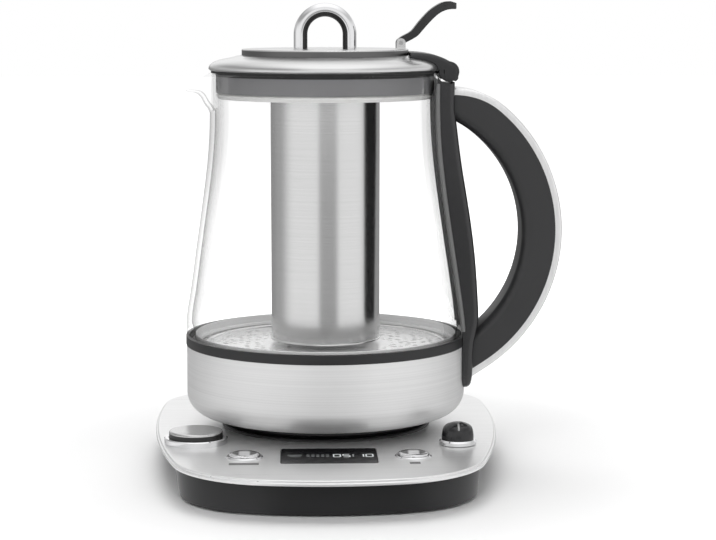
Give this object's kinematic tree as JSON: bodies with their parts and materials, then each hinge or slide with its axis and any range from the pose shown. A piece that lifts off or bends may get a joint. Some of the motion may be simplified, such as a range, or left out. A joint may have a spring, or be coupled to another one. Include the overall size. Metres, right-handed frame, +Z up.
{
  "type": "automatic tea maker",
  "caption": "Glass tea maker jug with heated steel cup, hanging infuser tube, hinged lid with ring handle and thumb lever, on a power base with display, push buttons and selector knob.",
  "frame": {"origin": "on the jug's axis at table level, on the underside of the middle foot", "axes": "+X towards the handle, -Y towards the controls, +Z up along the jug's axis"},
  "size_m": [0.2217, 0.2435, 0.2516],
  "materials": {
    "black_plastic": "fine matt moulding",
    "gloss_black": "smooth, softly shining",
    "brushed_plate": "brushed side to side",
    "cup_steel": "brushed round the cup",
    "lid_steel": "brushed in circles",
    "trim_steel": "satin",
    "button_steel": "spun face, bright lip",
    "infuser_steel": "drawn tube, satin",
    "floor_steel": "satin",
    "screw_steel": "plain",
    "bright_chrome": "polished",
    "contact_brass": "plain",
    "cast_aluminium": "as cast",
    "encoder_case": "pressed",
    "foot_rubber": "matt",
    "clear_silicone": "translucent",
    "display_black": "clear dark window",
    "display_module": "plain",
    "circuit_board": "lacquered",
    "component_black": "plain",
    "knob_black": "smooth",
    "jug_glass": "clear, blown smooth"
  },
  "bodies": {
    "base": {"base_housing": "black_plastic", "base_cover": "black_plastic", "base_plate": "brushed_plate", "rubber_feet": "foot_rubber", "cover_screws": "screw_steel", "inlet_gland": "black_plastic", "jug_seat": "black_plastic", "connector_plug": "black_plastic", "base_contacts": "contact_brass", "display_window": "display_black", "display_panel": "display_module", "control_board": "circuit_board", "board_posts": "black_plastic", "touch_switches": "component_black", "knob_encoder": "encoder_case", "power_board": "circuit_board", "power_parts": "component_black", "button_bezels": "bright_chrome"},
    "start_button": {"start_button": "button_steel"},
    "time_button": {"time_button": "bright_chrome"},
    "heat_button": {"heat_button": "bright_chrome"},
    "selector": {"selector_skirt": "bright_chrome", "selector_cap": "knob_black"},
    "earth_pin": {"earth_pin": "contact_brass"},
    "jug": {"cup_shell": "cup_steel", "underside_cover": "black_plastic", "jug_socket": "black_plastic", "socket_contacts": "contact_brass", "floor_plate": "floor_steel", "heat_spreader": "cast_aluminium", "heating_element": "cast_aluminium", "heat_sensor": "component_black", "cover_posts": "black_plastic", "underside_screws": "screw_steel", "jug_ring": "gloss_black", "floor_gasket": "clear_silicone", "glass_jug": "jug_glass", "handle_rail": "gloss_black", "handle_grip": "gloss_black", "handle_trim": "trim_steel"},
    "infuser": {"mouth_collar": "black_plastic", "collar_seal": "clear_silicone", "infuser_tube": "infuser_steel", "infuser_filter": "infuser_steel"},
    "lid": {"lid_cap": "lid_steel", "lid_disc": "lid_steel", "lid_liner": "black_plastic", "ring_handle": "bright_chrome", "ring_nuts": "screw_steel", "lid_hood": "gloss_black", "hinge_pin": "screw_steel", "lever_bracket": "lid_steel", "lever_pin": "screw_steel"},
    "lever": {"thumb_lever": "gloss_black"}
  },
  "joints": [
    {"name": "start_press", "type": "slide", "parent": "base", "child": "start_button", "axis": [0, 0, -1], "range_m": [0, 0.0015], "stiffness_N_per_m": 700, "springref_m": -0.0008},
    {"name": "time_press", "type": "slide", "parent": "base", "child": "time_button", "axis": [0, 0, -1], "range_m": [0, 0.0012], "stiffness_N_per_m": 500, "springref_m": -0.0008},
    {"name": "heat_press", "type": "slide", "parent": "base", "child": "heat_button", "axis": [0, 0, -1], "range_m": [0, 0.0012], "stiffness_N_per_m": 500, "springref_m": -0.0008},
    {"name": "selector_turn", "type": "hinge", "parent": "base", "child": "selector", "pos_m": [0.068, -0.062, 0.026], "axis": [0, 0, 1], "continuous": true},
    {"name": "jug_swivel", "type": "hinge", "parent": "base", "child": "earth_pin", "pos_m": [0, 0, 0.027], "axis": [0, 0, 1], "continuous": true},
    {"name": "jug_lift", "type": "slide", "parent": "earth_pin", "child": "jug", "axis": [0, 0, 1], "range_m": [0, 0.06]},
    {"name": "infuser_lift", "type": "slide", "parent": "jug", "child": "infuser", "axis": [0, 0, 1], "range_m": [0, 0.15]},
    {"name": "lid_hinge", "type": "hinge", "parent": "infuser", "child": "lid", "pos_m": [0.0658, 0, 0.2144], "axis": [0, 1, 0], "range_deg": [0, 75]},
    {"name": "thumb_press", "type": "hinge", "parent": "lid", "child": "lever", "pos_m": [0.0408, 0, 0.2294], "axis": [0, 1, 0], "range_deg": [0, 25], "stiffness_Nm_per_rad": 0.08, "springref_deg": -5.73}
  ]
}
